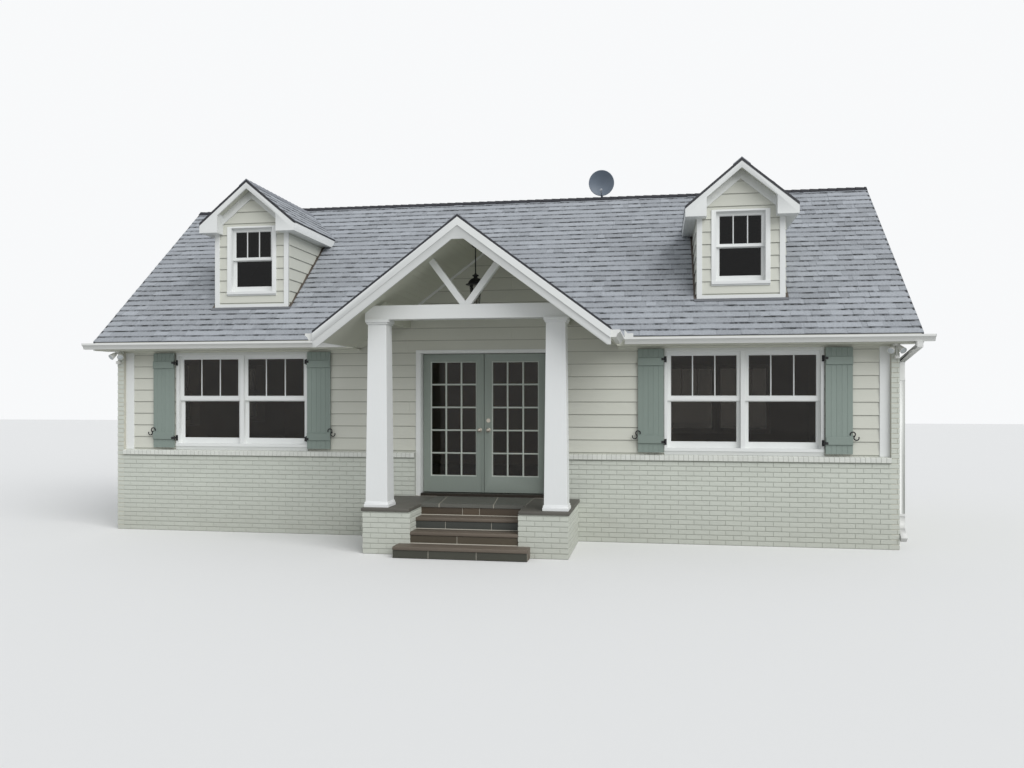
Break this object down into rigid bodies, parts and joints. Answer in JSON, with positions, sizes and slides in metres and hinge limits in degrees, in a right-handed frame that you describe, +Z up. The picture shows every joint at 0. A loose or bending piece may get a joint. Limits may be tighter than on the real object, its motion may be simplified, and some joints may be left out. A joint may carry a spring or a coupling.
{
  "type": "bungalow",
  "caption": "Side-gabled bungalow with gabled dormers, an open gabled entry porch on square columns, glazed doors that swing in, and fixed shutters.",
  "frame": {"origin": "on the ground under the middle of the front wall's outer face", "axes": "+Z up, +X along the front to the right, +Y into the house"},
  "size_m": [12.172, 7.938, 6.0765],
  "materials": {
    "siding": "matt paint on lapped boards",
    "painted_brick": "brick under off-white paint",
    "white_trim": "satin white paint",
    "shingles": "mineral-faced asphalt shingles",
    "ridge": "dark asphalt ridge shingles",
    "floor_boards": "varnished boards on joists",
    "blue_grey_paint": "satin blue-grey paint",
    "black_iron": "black paint",
    "window_glass": "clear sealed units",
    "satin_nickel": "satin",
    "dark_stone": "honed dark paving stone",
    "gutter_metal": "white coil coating",
    "lamp_white": "white",
    "dish_grey": "matt grey"
  },
  "bodies": {
    "house": {"front_wall_left": "siding", "front_wall_right": "siding", "front_wall_over_door": "siding", "porch_gable_wall": "siding", "left_side_wall": "painted_brick", "right_side_wall": "painted_brick", "back_wall": "siding", "brick_base": "painted_brick", "rowlock_course": "painted_brick", "corner_boards": "white_trim", "ground_floor": "floor_boards", "upper_floor": "floor_boards", "main_roof_front": "shingles", "main_roof_back": "shingles", "ridge_cap": "ridge", "eaves": "siding", "gable_rake_boards": "white_trim", "dormer_walls": "siding", "dormer_roofs": "shingles", "dormer_trim": "white_trim", "dormer_windows": "white_trim", "front_windows": "white_trim", "front_shutters": "blue_grey_paint", "shutter_ironwork": "black_iron", "back_windows": "white_trim", "side_windows": "white_trim", "ground_floor_glass": "window_glass", "upper_floor_glass": "window_glass", "door_frame": "white_trim", "porch_base": "painted_brick", "porch_piers": "painted_brick", "pier_caps": "dark_stone", "porch_floor": "dark_stone", "bottom_step": "dark_stone", "middle_step": "dark_stone", "top_step": "dark_stone", "porch_columns": "white_trim", "tie_beam": "white_trim", "side_beams": "siding", "gable_braces": "white_trim", "porch_roof": "shingles", "porch_ceiling": "siding", "porch_rake_boards": "white_trim", "gutters": "gutter_metal", "downspouts": "gutter_metal", "lantern": "black_iron", "floodlights": "lamp_white", "satellite_dish": "dish_grey"},
    "door_leaf_left": {"door_leaf_left": "blue_grey_paint", "door_glass_left": "window_glass", "door_knob_left": "satin_nickel"},
    "door_leaf_right": {"door_leaf_right": "blue_grey_paint", "door_glass_right": "window_glass", "door_knob_right": "satin_nickel"}
  },
  "joints": [
    {"name": "left_door_swing", "type": "hinge", "parent": "house", "child": "door_leaf_left", "pos_m": [-0.877, 0.152, 0.648], "axis": [0, 0, 1], "range_deg": [0, 110]},
    {"name": "right_door_swing", "type": "hinge", "parent": "house", "child": "door_leaf_right", "pos_m": [0.957, 0.152, 0.648], "axis": [0, 0, -1], "range_deg": [0, 110]}
  ]
}
